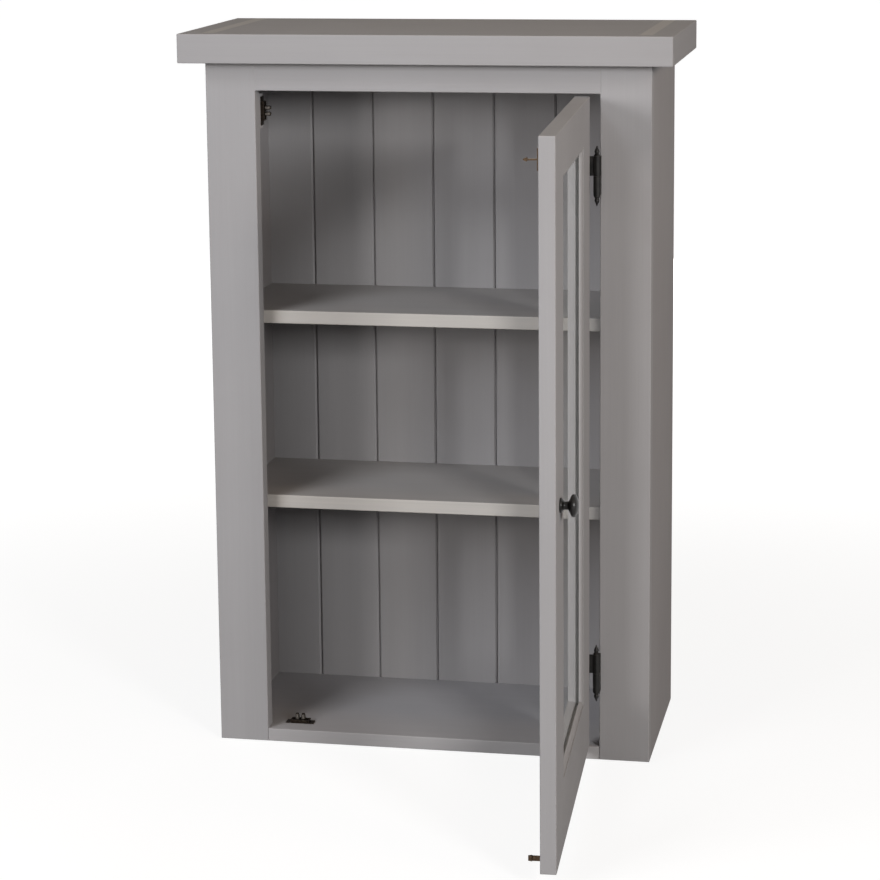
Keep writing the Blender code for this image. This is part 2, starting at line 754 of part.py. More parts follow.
def add_door(maker):
    length = DOOR_THICKNESS + 2 * SEAT + KNOB_BOLT_DEPTH
    hole = moved(
        turned(
            [
                (0, -OVERRUN),
                (KNOB_BOLT_RADIUS + SEAT, -OVERRUN),
                (KNOB_BOLT_RADIUS + SEAT, length),
                (0, length),
            ],
            SCREW_SIDES,
        ),
        knob_bolt_place(),
    )
    free = door_stile(DOOR_FREE_EDGE, GLASS_LEFT)
    holes = [screw_hole(place) for side in CATCHES for place in strike_screw_places(side)]
    maker.add_to_door("door_free_stile", cut(free, hole, *holes))

    hinge = door_stile(DOOR_HINGE_EDGE, GLASS_RIGHT)
    for middle in HINGE_MIDDLES.values():
        half = HINGE_HEIGHT / 2 + SEAT
        recess = box(
            (DOOR_HINGE_EDGE - LEAF_THICKNESS - SEAT, DOOR_HINGE_EDGE + OVERRUN),
            (DOOR_FACE - OVERRUN, DOOR_FACE + LEAF_WIDTH + SEAT),
            (middle - half, middle + half),
        )
        hinge = cut(hinge, recess, *[screw_hole(place) for place in door_screw_places(middle)])
    maker.add_to_door("door_hinge_stile", hinge)

    maker.add_to_door("door_top_rail", door_rail(DOOR_TOP, GLASS_TOP))
    maker.add_to_door("door_bottom_rail", door_rail(DOOR_BOTTOM, GLASS_BOTTOM))

    pane = box(
        (GLASS_LEFT + GLASS_PLAY, GLASS_RIGHT - GLASS_PLAY),
        (GLASS_FACE, GLASS_BACK),
        (GLASS_BOTTOM + GLASS_PLAY, GLASS_TOP - GLASS_PLAY),
    )
    maker.add_to_door("door_glass", pane, "clear_glass")
    add_beads(maker)


# Knob

def swell(start, end, steps=5):
    """Points of a smooth S from one (radius, height) point to another."""
    points = []
    for i in range(steps + 1):
        share = i / steps
        bend = (1 - math.cos(math.pi * share)) / 2
        points.append((start[0] + (end[0] - start[0]) * bend, start[1] + (end[1] - start[1]) * share))
    return points


def dome(start_radius, start_height, top_height, steps=5):
    """Points of a quarter ellipse from a rim up to the axis."""
    points = []
    for i in range(1, steps + 1):
        angle = math.pi / 2 * i / steps
        radius = start_radius * math.cos(angle) if i < steps else 0
        points.append((radius, start_height + (top_height - start_height) * math.sin(angle)))
    return points


def add_knob(maker):
    bore = KNOB_BOLT_RADIUS + SEAT
    depth = KNOB_BOLT_DEPTH + SEAT
    profile = [(0, depth), (bore, depth), (bore, 0), (KNOB_ROSE_RADIUS, 0)]
    profile += swell((KNOB_ROSE_RADIUS, KNOB_ROSE_THICKNESS), (KNOB_STEM_RADIUS, KNOB_STEM_START))
    profile += swell((KNOB_STEM_RADIUS, KNOB_STEM_END), (KNOB_HEAD_RADIUS, KNOB_RIM_START))
    profile += [(KNOB_HEAD_RADIUS, KNOB_RIM_END)]
    profile += dome(KNOB_HEAD_RADIUS, KNOB_RIM_END, KNOB_PROJECTION)
    place = pointing((DOOR_FREE_EDGE + KNOB_INSET, DOOR_FACE - SEAT, KNOB_HEIGHT), (0, -1, 0))
    knob = moved(turned(profile, KNOB_SIDES), place)
    maker.add_to_door("knob", knob, "black_iron", smooth=True)

    length = DOOR_THICKNESS + 2 * SEAT + KNOB_BOLT_DEPTH
    head = [(0, -KNOB_BOLT_HEAD_HEIGHT)]
    head += [(r, -h) for r, h in reversed(dome(KNOB_BOLT_HEAD_RADIUS, 0, KNOB_BOLT_HEAD_HEIGHT, 4)[:-1])]
    shank = [(KNOB_BOLT_HEAD_RADIUS, 0), (KNOB_BOLT_RADIUS, 0), (KNOB_BOLT_RADIUS, length), (0, length)]
    bolt = moved(turned(head + shank, KNOB_SIDES), knob_bolt_place())
    maker.add_to_door("knob_bolt", bolt, "black_iron", smooth=True)


# Hinges

def finial_profile(base):
    """Pointed finial standing on a barrel's end at a height."""
    collar = base + FINIAL_COLLAR_HEIGHT
    neck = collar + FINIAL_NECK_HEIGHT
    bulb = neck + FINIAL_BULB_HEIGHT
    tip = bulb + FINIAL_POINT_HEIGHT
    points = [(FINIAL_COLLAR_RADIUS, base), (FINIAL_COLLAR_RADIUS, collar), (FINIAL_NECK_RADIUS, neck)]
    points += swell((FINIAL_NECK_RADIUS, neck), (FINIAL_BULB_RADIUS, bulb), 3)[1:]
    points += swell((FINIAL_BULB_RADIUS, bulb), (FINIAL_TIP_RADIUS, tip), 4)[1:]
    return points + [(0, tip)]


def upside_down(profile):
    return [(radius, -height) for radius, height in profile]


def hinge_solids(middle):
    """Frame leaf, pin and door leaf of one lift-off hinge, with the door shut."""
    half = HINGE_HEIGHT / 2
    axis = Vector((PIN_X, PIN_Y, middle))
    bore = HINGE_PIN_RADIUS + SEAT

    frame_x = (OPENING, OPENING + LEAF_THICKNESS)
    plate = box(frame_x, (FRONT, FRONT + LEAF_WIDTH), (middle - half, middle + half))
    curl = box(frame_x, (PIN_Y, FRONT + OVERRUN), (middle - half, middle - SEAT / 2))
    knuckle = turned(
        [(0, -half), (BARREL_RADIUS, -half), (BARREL_RADIUS, -SEAT / 2), (0, -SEAT / 2)], BARREL_SIDES
    )
    ends = (-half - OVERRUN, OVERRUN)
    through = turned([(0, ends[0]), (bore, ends[0]), (bore, ends[1]), (0, ends[1])], BARREL_SIDES)
    frame_leaf = join(plate, curl, moved(knuckle, axis))
    frame_leaf = cut(frame_leaf, moved(through, axis), *[screw_hole(p) for p in frame_screw_places(middle)])

    foot = upside_down(finial_profile(half + SEAT))
    shank = [(HINGE_PIN_RADIUS, -half - SEAT), (HINGE_PIN_RADIUS, PIN_REACH), (0, PIN_REACH)]
    pin = moved(turned(list(reversed(foot)) + shank, BARREL_SIDES), axis)

    door_x = (DOOR_HINGE_EDGE - LEAF_THICKNESS, DOOR_HINGE_EDGE)
    plate = box(door_x, (DOOR_FACE, DOOR_FACE + LEAF_WIDTH), (middle - half, middle + half))
    curl = box(door_x, (PIN_Y, DOOR_FACE + OVERRUN), (middle + SEAT / 2, middle + half))
    bore_end = PIN_REACH + SEAT
    barrel = [
        (0, bore_end),
        (bore, bore_end),
        (bore, SEAT / 2),
        (BARREL_RADIUS, SEAT / 2),
        (BARREL_RADIUS, half),
    ]
    socket = turned([(0, -OVERRUN), (bore, -OVERRUN), (bore, bore_end), (0, bore_end)], BARREL_SIDES)
    door_leaf = join(plate, curl)
    door_leaf = cut(door_leaf, moved(socket, axis))
    door_leaf = join(door_leaf, moved(turned(barrel + finial_profile(half), BARREL_SIDES), axis))
    door_leaf = cut(door_leaf, *[screw_hole(place) for place in door_screw_places(middle)])
    return frame_leaf, pin, door_leaf


def add_hinges(maker):
    for side, middle in HINGE_MIDDLES.items():
        frame_leaf, pin, door_leaf = hinge_solids(middle)
        maker.add(side + "_hinge_frame_leaf", frame_leaf, "black_iron", smooth=True)
        maker.add(side + "_hinge_pin", pin, "black_iron", smooth=True)
        maker.add_to_door(side + "_hinge_door_leaf", door_leaf, "black_iron", smooth=True)


# Roller catches, each drawn on its own mount: +Z off the mounting face, the strike comes in along +Y

def catch_body():
    half_length = CATCH_PLATE_LENGTH / 2
    half_depth = CATCH_PLATE_DEPTH / 2
    half_channel = CHANNEL_LENGTH / 2
    inside = half_depth - CHANNEL_WALL
    body = box((-half_length, half_length), (-half_depth, half_depth), (0, CATCH_PLATE_THICKNESS))
    middle = CATCH_PLATE_THICKNESS / 2
    for sign in (-1, 1):
        wall_y = sorted((sign * half_depth, sign * inside))
        flange_y = sorted((sign * half_depth, sign * (inside - CHANNEL_FLANGE)))
        end_x = sorted((sign * half_channel, sign * (half_channel - CHANNEL_WALL)))
        wall = box((-half_channel, half_channel), wall_y, (middle, FLANGE_TOP))
        flange = box((-half_channel, half_channel), flange_y, (FLANGE_BOTTOM, FLANGE_TOP))
        stop = box(end_x, (-half_depth, half_depth), (middle, FLANGE_TOP))
        body = join(body, wall, flange, stop)
    rest = JAW_GAP / 2 - SEAT
    body = join(body, box((-rest, rest), (-half_depth, half_depth), (middle, JAW_TOP)))
    down = pointing((0, 0, CATCH_PLATE_THICKNESS), (0, 0, -1))
    holes = [
        screw_hole(Matrix.Translation((s * CATCH_SCREW_SPACING / 2, 0, 0)) @ down) for s in (-1, 1)
    ]
    return cut(body, *holes)


def catch_jaw():
    """Slider with the post that its roller turns on, drawn about the roller's axis."""
    half_depth = CATCH_PLATE_DEPTH / 2 - CHANNEL_WALL - SEAT
    slider = box((-JAW_LENGTH / 2, JAW_LENGTH / 2), (-half_depth, half_depth), (JAW_BOTTOM, JAW_TOP))
    head = ROLLER_TOP + SEAT
    post = turned(
        [
            (0, JAW_BOTTOM + SEAT),
            (ROLLER_SHOULDER_RADIUS, JAW_BOTTOM + SEAT),
            (ROLLER_SHOULDER_RADIUS, FLANGE_TOP),
            (ROLLER_PIN_RADIUS, FLANGE_TOP),
            (ROLLER_PIN_RADIUS, head),
            (ROLLER_HEAD_RADIUS, head),
            (ROLLER_HEAD_RADIUS, head + ROLLER_HEAD_THICKNESS),
            (0, head + ROLLER_HEAD_THICKNESS),
        ],
        ROLLER_SIDES,
    )
    return join(slider, post)


def catch_roller():
    rim = ROLLER_RADIUS - ROLLER_CHAMFER
    profile = [
        (ROLLER_BORE, ROLLER_BOTTOM),
        (rim, ROLLER_BOTTOM),
        (ROLLER_RADIUS, ROLLER_BOTTOM + ROLLER_CHAMFER),
        (ROLLER_RADIUS, ROLLER_TOP - ROLLER_CHAMFER),
        (rim, ROLLER_TOP),
        (ROLLER_BORE, ROLLER_TOP),
    ]
    return turned(profile, ROLLER_SIDES, ring=True)


def add_spring(maker, name, parent, sign):
    """Coil that presses a jaw inwards, between the jaw's outer end and the channel's stop."""
    start = JAW_END + SEAT + SPRING_WIRE_RADIUS
    end = CHANNEL_LENGTH / 2 - CHANNEL_WALL - SEAT - SPRING_WIRE_RADIUS
    axis_z = (JAW_BOTTOM + JAW_TOP) / 2
    count = round(SPRING_TURNS * SPRING_POINTS_PER_TURN)
    curve = bpy.data.curves.new(name, "CURVE")
    curve.dimensions = "3D"
    curve.bevel_depth = SPRING_WIRE_RADIUS
    curve.bevel_resolution = 1
    curve.use_fill_caps = True
    spline = curve.splines.new("POLY")
    spline.points.add(count)
    path = []
    for i, point in enumerate(spline.points):
        angle = 2 * math.pi * i / SPRING_POINTS_PER_TURN
        x = start + (end - start) * i / count
        y = SPRING_RADIUS * math.cos(angle)
        z = axis_z + SPRING_RADIUS * math.sin(angle)
        path.append(Vector((sign * x, y, z)))
        point.co = (*path[-1], 1)
    maker.link(bpy.data.objects.new(name, curve), "spring_steel", parent, (0, 0, 0))
    half_turn = SPRING_POINTS_PER_TURN // 2
    apart = [(path[j] - path[i]).length for i in range(count) for j in range(i + half_turn, count + 1)]
    print("%s: least gap to itself %.2f mm" % (name, (min(apart) - 2 * SPRING_WIRE_RADIUS) * 1000))


def add_catches(maker):
    for side, mount in maker.catch_mounts.items():
        maker.add(side + "_catch_body", catch_body(), "dark_bronze", mount)
        for hand, sign in (("first", -1), ("second", 1)):
            middle = (sign * JAW_MIDDLE, 0, 0)
            stem = "%s_catch_%s_" % (side, hand)
            maker.add(stem + "jaw", catch_jaw(), "dark_bronze", mount, middle, smooth=True)
            maker.add(stem + "roller", catch_roller(), "dark_bronze", mount, middle, smooth=True)
            add_spring(maker, stem + "spring", mount, sign)


def strike():
    """Plate with an arrow-headed spear that passes between the rollers and is held behind them."""
    half_width = STRIKE_WIDTH / 2
    half_length = STRIKE_PLATE_LENGTH / 2
    neck = STRIKE_NECK_THICKNESS / 2
    head = STRIKE_HEAD_WIDTH / 2
    tip = STRIKE_TIP_WIDTH / 2
    axis = ROLLER_SETBACK - SEAT
    barb = axis + ROLLER_RADIUS + SEAT
    end = barb + STRIKE_HEAD_LENGTH
    root = STRIKE_PLATE_THICKNESS / 2
    outline = [
        (neck, root),
        (neck, barb - STRIKE_HEAD_SLOPE),
        (head, barb),
        (tip, end),
        (-tip, end),
        (-head, barb),
        (-neck, barb - STRIKE_HEAD_SLOPE),
        (-neck, root),
    ]
    plate = box((-half_length, half_length), (0, STRIKE_PLATE_THICKNESS), (-half_width, half_width))
    reach = ROLLER_LENGTH / 2
    return join(plate, prism(outline, -reach, reach))


def add_strikes(maker):
    for side in CATCHES:
        solid = moved(strike(), strike_matrix(side))
        solid = cut(solid, *[screw_hole(place) for place in strike_screw_places(side)])
        maker.add_to_door(side + "_strike", solid, "dark_bronze")


def main():
    for obj in list(bpy.data.objects):
        bpy.data.objects.remove(obj)
    maker = Maker()
    add_face_frame(maker)
    add_carcass(maker)
    add_back_boards(maker)
    add_top(maker)
    add_door(maker)
    add_knob(maker)
    add_hinges(maker)
    add_catches(maker)
    add_strikes(maker)
    bpy.context.view_layer.update()


main()
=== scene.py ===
"""Looks of the painted kitchen cupboard: paint, glass, ironwork, screws, springs, light and camera."""
import math

import bmesh
import bpy
from mathutils import Matrix, Vector


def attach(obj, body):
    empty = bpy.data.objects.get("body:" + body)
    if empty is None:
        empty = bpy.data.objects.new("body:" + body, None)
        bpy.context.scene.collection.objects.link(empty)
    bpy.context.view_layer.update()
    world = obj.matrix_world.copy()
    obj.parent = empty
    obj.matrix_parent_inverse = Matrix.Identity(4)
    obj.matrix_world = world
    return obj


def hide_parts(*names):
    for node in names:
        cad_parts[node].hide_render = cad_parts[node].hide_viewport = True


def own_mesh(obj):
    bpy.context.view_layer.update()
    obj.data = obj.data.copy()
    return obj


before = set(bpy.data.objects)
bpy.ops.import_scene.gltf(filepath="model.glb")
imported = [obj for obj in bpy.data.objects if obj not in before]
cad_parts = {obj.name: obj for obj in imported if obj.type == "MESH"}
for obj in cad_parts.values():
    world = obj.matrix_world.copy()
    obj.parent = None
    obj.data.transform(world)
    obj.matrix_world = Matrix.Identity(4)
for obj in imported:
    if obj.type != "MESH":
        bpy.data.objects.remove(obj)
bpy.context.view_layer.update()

# Places and sizes repeated from the part's source, in metres and degrees
FRONT = -0.1375
OPENING = 0.232
OPENING_TOP = 0.907
CARCASS_HEIGHT = 0.945
BASE_THICKNESS = 0.018
SEAT = 0.0003
DOOR_GAP = 0.0025
DOOR_SETBACK = 0.003
DOOR_THICKNESS = 0.020
DOOR_FACE = FRONT + DOOR_SETBACK
DOOR_INSIDE = DOOR_FACE + DOOR_THICKNESS
DOOR_HINGE_EDGE = OPENING - DOOR_GAP
DOOR_BOTTOM = BASE_THICKNESS + DOOR_GAP
DOOR_TOP = OPENING_TOP - DOOR_GAP
DOOR_PIVOT = Vector((0.22875, -0.144, 0.0))
DOOR_OPEN_ANGLE = 93.0
HINGE_END_DISTANCE = 0.104
HINGE_SCREW_SPACING = 0.030
LEAF_WIDTH = 0.0155
ROLLER_SETBACK = 0.010
CATCH_Y = DOOR_INSIDE + ROLLER_SETBACK
UPPER_CATCH_DROP = 0.030
LOWER_CATCH_INSET = 0.038
CATCH_PLATE_THICKNESS = 0.0012
CATCH_SCREW_SPACING = 0.0325
STRIKE_PLATE_THICKNESS = 0.0012
STRIKE_SCREW_SPACING = 0.018
ROLLER_MIDDLE = 0.00835
JAW_AXIS_HEIGHT = 0.0025
JAW_END = 0.0074
CHANNEL_STOP = 0.0120

# Sizes of the screws, in metres
SCREW_HEAD_RADIUS = 0.0024
SCREW_HEAD_HEIGHT = 0.0008
SCREW_RIM_HEIGHT = SCREW_HEAD_HEIGHT * 0.15
SCREW_SHANK_RADIUS = 0.0013
SCREW_LENGTH = 0.0115
SCREW_POINT = 0.0020
SCREW_SIDES = 32
SCREW_SLOT_WIDTH = 0.0007
SCREW_SLOT_DEPTH = 0.0005
SCREW_SINK = 0.0001
SCREW_SLOT_TURN = 0.9  # radians from one screw's slot to the next

# Sizes of the paint over the joints, in metres
JOINT_PAINT_WIDTH = 0.0016
JOINT_PAINT_THICKNESS = 0.00003
JOINT_PAINT_LIFT = 0.00001

# Sizes of the springs, in metres
SPRING_RADIUS = 0.00085
SPRING_WIRE_RADIUS = 0.00025
SPRING_TURNS = 3.5
SPRING_POINTS_PER_TURN = 24
SPRING_WIRE_SIDES = 10

# Camera, fitted to the photograph's edges; its angles are in radians
PHOTO_PIXELS = 880
CAMERA_FOCUS_PIXELS = 2668.8
CAMERA_PLACE = Vector((0.69229, -3.58008, 1.24432))
CAMERA_YAW = -0.19370
CAMERA_PITCH = 0.17645
CAMERA_ROLL = 0.00921
CAMERA_SHIFT_Y = -0.15
SENSOR_WIDTH = 36.0

# Light
FLOOR_LEVEL = -0.001
FLOOR_SIZE = 60.0
FLOOR_ALBEDO = 0.2
FLOOR_GLOW_SPAN = (0.5, 2.2)  # metres from the object's origin
FLOOR_GLOW = (0.86, 1.0)      # at the near and the far end of that span
ROOM_COLOUR = (1.0, 0.94, 0.88, 1.0)
ROOM_LEVEL = 0.02
AIM = Vector((0.0, -0.1, 0.50))
LAMPS = (
    # name, place, size, level, colour
    ("right_softbox", (2.77, -3.52, 1.7), 0.8, 0.51, (1.0, 0.99, 0.98)),
    ("right_fill", (2.6, -1.6, 2.0), 0.8, 0.12, (1.0, 0.76, 0.58)),
    ("left_softbox", (-1.8, -3.9, 1.3), 0.9, 0.22, (1.0, 0.96, 0.93)),
    ("left_key", (-1.9, -2.3, 1.6), 0.9, 0.23, (0.92, 0.94, 1.0)),
    ("high_left", (-1.7, -3.0, 3.6), 1.4, 0.18, (0.90, 0.95, 1.0)),
    ("top", (0.0, -0.5, 5.0), 1.5, 0.10, (1.0, 0.72, 0.40)),
    ("rear", (0.0, 4.2, 0.5), 0.9, 0.35, (1.0, 0.97, 0.94)),
)

# Materials

EDGE_SAMPLES = 4
EDGE_SPAN = (0.80, 0.995)  # cosine of the bend where the pale edge (wear, and on paint partly a painted highlight) is full and where it ends


class Shading:
    """One node material, with short ways to add and link its nodes."""

    def __init__(self, name):
        self.material = bpy.data.materials.new(name)
        self.material.use_nodes = True
        self.tree = self.material.node_tree
        self.shader = self.tree.nodes["Principled BSDF"]
        self.place = self.add("TexCoord").outputs["Object"]

    def feed(self, socket, value):
        """Link another node's output to a socket, or set the socket's own value."""
        if isinstance(value, bpy.types.NodeSocket):
            self.tree.links.new(value, socket)
        else:
            socket.default_value = value

    def add(self, kind, inputs=None, **settings):
        """A new node with its settings made and its inputs fed."""
        node = self.tree.nodes.new("ShaderNode" + kind)
        for name, value in settings.items():
            setattr(node, name, value)
        for socket, value in (inputs or {}).items():
            self.feed(node.inputs[socket], value)
        return node

    def math(self, operation, first, second):
        return self.add("Math", {0: first, 1: second}, operation=operation).outputs[0]

    def noise(self, scale, offset=0.0, detail=3.0, roughness=0.5):
        """Noise with a scale in cycles per metre along each axis."""
        mapping = self.add("Mapping", {"Vector": self.place, "Scale": scale, "Location": (offset,) * 3})
        texture = self.add(
            "TexNoise",
            {"Vector": mapping.outputs[0], "Scale": 1.0, "Detail": detail, "Roughness": roughness},
        )
        return texture.outputs["Fac"]

    def spread(self, value, low, high, start=0.3, end=0.7):
        """A value between start and end drawn out to run from low to high."""
        inputs = {"Value": value, "From Min": start, "From Max": end, "To Min": low, "To Max": high}
        return self.add("MapRange", inputs).outputs[0]

    def mix(self, factor, first, second):
        node = self.add("Mix", data_type="RGBA")
        self.feed(node.inputs["Factor"], factor)
        self.feed(node.inputs["A"], first)
        self.feed(node.inputs["B"], second)
        return node.outputs["Result"]

    def bump(self, height, distance):
        return self.add("Bump", {"Height": height, "Distance": distance, "Strength": 1.0}).outputs[0]

    def edges(self, radius, breakup):
        """One along edges and nought on flat faces, broken up by a noise value; on paint it draws wear and
        partly a painted highlight, on metal wear.
        """
        rounded = self.add("Bevel", {"Radius": radius}, samples=EDGE_SAMPLES).outputs[0]
        flat = self.add("NewGeometry").outputs["Normal"]
        level = self.add("VectorMath", {0: rounded, 1: flat}, operation="DOT_PRODUCT").outputs["Value"]
        edge = self.spread(level, 1.0, 0.0, *EDGE_SPAN)
        return self.math("MULTIPLY", edge, breakup)

    def set(self, **sockets):
        """Feed the shader's sockets, with _ for each space in their names, and give the material."""
        for name, value in sockets.items():
            self.feed(self.shader.inputs[name.replace("_", " ")], value)
        return self.material


def along(axis, across, lengthwise):
    """Scale of a noise that differs along one axis; a small lengthwise scale draws it out there."""
    scale = [across] * 3
    scale["xyz".index(axis)] = lengthwise
    return scale


PAINT_DARK = Vector((0.335, 0.326, 0.331))
PAINT_LIGHT = Vector((0.405, 0.398, 0.406))
# Pale tones for worn edges and for painted highlights
PAINT_WEAR_AND_HIGHLIGHT = Vector((0.47, 0.455, 0.44))
SHELF_WEAR_AND_HIGHLIGHT = Vector((0.525, 0.51, 0.495))
PAINT_EDGE = 0.0016
HIGHLIGHT_BAND_FADE = 0.002
FRONT_SPAN = (0.5, 0.9)  # cosine to -Y where the painted highlight on a front starts and where it is full
# Shifts that set the noise of the grain and of the clouds apart from the brush marks'
GRAIN_SHIFT = 3.1
CLOUD_SHIFT = 7.7


def paint(name, grain, offset, tint=(1.0, 1.0, 1.0), rubbed=PAINT_WEAR_AND_HIGHLIGHT, front_highlight=0.0, highlight_band=None):
    """Brushed matt paint over wood whose grain runs along an axis.

    offset sets its pattern apart from other paints', and tint makes it darker or lighter. A front highlight
    level pales its -Y faces as a painted highlight; a band paints a pale highlight strip between two
    distances from the middle along X.
    """
    dark, light, rubbed = ((*(tone * Vector(tint)), 1.0) for tone in (PAINT_DARK, PAINT_LIGHT, rubbed))
    s = Shading(name)
    brush = s.noise(along(grain, across=420.0, lengthwise=5.0), offset, detail=4.0)
    grain_scale = along(grain, across=70.0, lengthwise=1.6)
    grain_lines = s.noise(grain_scale, offset + GRAIN_SHIFT, detail=5.0, roughness=0.6)
    clouds = s.noise((5.0,) * 3, offset + CLOUD_SHIFT)
    tone = s.math("ADD", s.spread(clouds, 0.25, 0.55), s.spread(brush, 0.0, 0.12))
    tone = s.math("ADD", tone, s.spread(grain_lines, 0.0, 0.14))
    colour = s.mix(tone, dark, light)
    # Pale edges: wear, and partly a painted highlight along the arrises
    worn = s.edges(PAINT_EDGE, s.spread(clouds, 0.15, 0.55))
    # Painted highlight on the faces towards -Y, kept in the same pale mask as the edges
    if front_highlight:
        normal = s.add("TexCoord").outputs["Normal"]
        facing = s.add("VectorMath", {0: normal, 1: (0, -1, 0)}, operation="DOT_PRODUCT").outputs["Value"]
        front = s.spread(facing, 0.0, 1.0, *FRONT_SPAN)
        worn = s.math("MAXIMUM", worn, s.math("MULTIPLY", front, s.spread(brush, 0.8 * front_highlight, front_highlight)))
    # Painted highlight: a pale strip across X, kept in the same pale mask as the edges
    if highlight_band:
        side = s.math("ABSOLUTE", s.add("SeparateXYZ", {0: s.place}).outputs["X"], 0.0)
        inside = s.spread(side, 0.0, 1.0, highlight_band[0], highlight_band[0] + HIGHLIGHT_BAND_FADE)
        outside = s.spread(side, 1.0, 0.0, highlight_band[1] - HIGHLIGHT_BAND_FADE, highlight_band[1])
        strip = s.math("MULTIPLY", s.math("MULTIPLY", inside, outside), s.spread(brush, 0.75, 1.0))
        worn = s.math("MAXIMUM", worn, strip)
    # The pale colour stands for wear and for painted highlight
    colour = s.mix(worn, colour, rubbed)
    height = s.math("ADD", s.spread(brush, 0.0, 0.6), s.spread(grain_lines, 0.0, 0.8))
    return s.set(
        Base_Color=colour,
        Roughness=s.spread(brush, 0.68, 0.80),
        Specular_IOR_Level=0.03,
        Normal=s.bump(height, distance=0.00006),
    )


IRON_EDGE = 0.0006
BRONZE_EDGE = 0.0005


def black_iron():
    """Japanned iron: satin black with a fine orange-peel skin and brown rub on its edges."""
    s = Shading("black_iron")
    dark = (0.007, 0.007, 0.007, 1.0)
    light = (0.015, 0.014, 0.013, 1.0)
    rubbed = (0.055, 0.043, 0.034, 1.0)
    skin = s.noise((900.0,) * 3, detail=2.0)
    patches = s.noise((160.0,) * 3, offset=2.0)
    colour = s.mix(s.spread(patches, 0.0, 1.0), dark, light)
    worn = s.edges(IRON_EDGE, s.spread(patches, 0.1, 0.7))
    colour = s.mix(worn, colour, rubbed)
    return s.set(
        Base_Color=colour,
        Roughness=s.spread(patches, 0.28, 0.42),
        Specular_IOR_Level=0.24,
        Normal=s.bump(skin, distance=0.00003),
    )


def dark_bronze(name, dark, light, rubbed):
    """Bronzed steel with mottled patina, rubbed on its edges."""
    s = Shading(name)
    mottle = s.noise((420.0,) * 3, offset=1.0, detail=4.0)
    scuffs = s.noise(along("y", across=120.0, lengthwise=1500.0), offset=5.0, detail=2.0)
    colour = s.mix(s.spread(mottle, 0.0, 1.0), dark, light)
    worn = s.edges(BRONZE_EDGE, s.spread(scuffs, 0.2, 0.8))
    colour = s.mix(worn, colour, rubbed)
    return s.set(
        Base_Color=colour,
        Metallic=0.9,
        Roughness=s.spread(mottle, 0.32, 0.50),
        Normal=s.bump(scuffs, distance=0.00002),
    )


def clear_glass():
    """Thin clear pane with a faint green cast, wiping marks and a slight wave."""
    s = Shading("clear_glass")
    dark = (0.72, 0.79, 0.76, 1.0)
    light = (0.79, 0.84, 0.82, 1.0)
    wipes = s.noise(along("z", across=9.0, lengthwise=30.0), offset=6.0, detail=4.0, roughness=0.6)
    wave = s.noise((7.0,) * 3, offset=9.0, detail=1.0)
    colour = s.mix(s.spread(wipes, 0.0, 1.0), dark, light)
    return s.set(
        Base_Color=colour,
        Alpha=s.spread(wipes, 0.11, 0.14),
        Roughness=s.spread(wipes, 0.03, 0.10),
        Normal=s.bump(wave, distance=0.0002),
    )


def spring_steel():
    """Drawn steel wire."""
    s = Shading("spring_steel")
    dark = (0.34, 0.33, 0.32, 1.0)
    light = (0.52, 0.51, 0.50, 1.0)
    lines = s.noise((2600.0,) * 3, offset=4.0, detail=2.0)
    colour = s.mix(s.spread(lines, 0.0, 1.0), dark, light)
    return s.set(
        Base_Color=colour,
        Metallic=1.0,
        Roughness=s.spread(lines, 0.22, 0.36),
        Normal=s.bump(lines, distance=0.00001),
    )


# Shelves painted lighter and warmer than the rest: painted highlight for their lit front edges
SHELF_HIGHLIGHT_TINT = (1.13, 1.11, 1.07)
# Base board painted a little lighter: painted highlight on its lit front edge
BASE_HIGHLIGHT_TINT = (1.06, 1.06, 1.07)
# Sides painted darker and warmer than the rest: painted shade
SIDE_SHADE_TINT = (0.94, 0.92, 0.91)
CLEAT_HIGHLIGHT_BAND = (0.2830, 0.3020)  # metres from the slab's middle, where a pale highlight strip is painted
PAINT = {
    "upright": paint("paint_upright", "z", offset=0.0),
    "level": paint("paint_level", "x", offset=11.0),
    "deep": paint("paint_deep", "y", offset=23.0),
    "shelf": paint("paint_shelf", "x", offset=31.0, tint=SHELF_HIGHLIGHT_TINT, rubbed=SHELF_WEAR_AND_HIGHLIGHT, front_highlight=0.9),
    "base": paint("paint_base", "x", offset=53.0, tint=BASE_HIGHLIGHT_TINT, front_highlight=0.3),
    "side": paint("paint_side", "z", offset=61.0, tint=SIDE_SHADE_TINT),
    "cleat": paint("paint_cleat", "y", offset=41.0, highlight_band=CLEAT_HIGHLIGHT_BAND),
}
IRON = black_iron()
BRONZE = {
    "plate": dark_bronze(
        "bronze_plate",
        dark=(0.012, 0.009, 0.007, 1.0),
        light=(0.045, 0.034, 0.025, 1.0),
        rubbed=(0.13, 0.10, 0.075, 1.0),
    ),
    "roller": dark_bronze(
        "bronze_roller",
        dark=(0.10, 0.09, 0.08, 1.0),
        light=(0.21, 0.19, 0.17, 1.0),
        rubbed=(0.30, 0.27, 0.24, 1.0),
    ),
    "strike": dark_bronze(
        "bronze_strike",
        dark=(0.040, 0.025, 0.015, 1.0),
        light=(0.10, 0.066, 0.040, 1.0),
        rubbed=(0.22, 0.16, 0.105, 1.0),
    ),
}
STEEL = spring_steel()
GLASS = clear_glass()

LEVEL_GRAIN = ("top_board", "top_front_lipping", "face_frame_rail", "hanging_rail")
DEEP_GRAIN = ("door_top_rail", "door_bottom_rail", "door_bead_top", "door_bead_bottom")


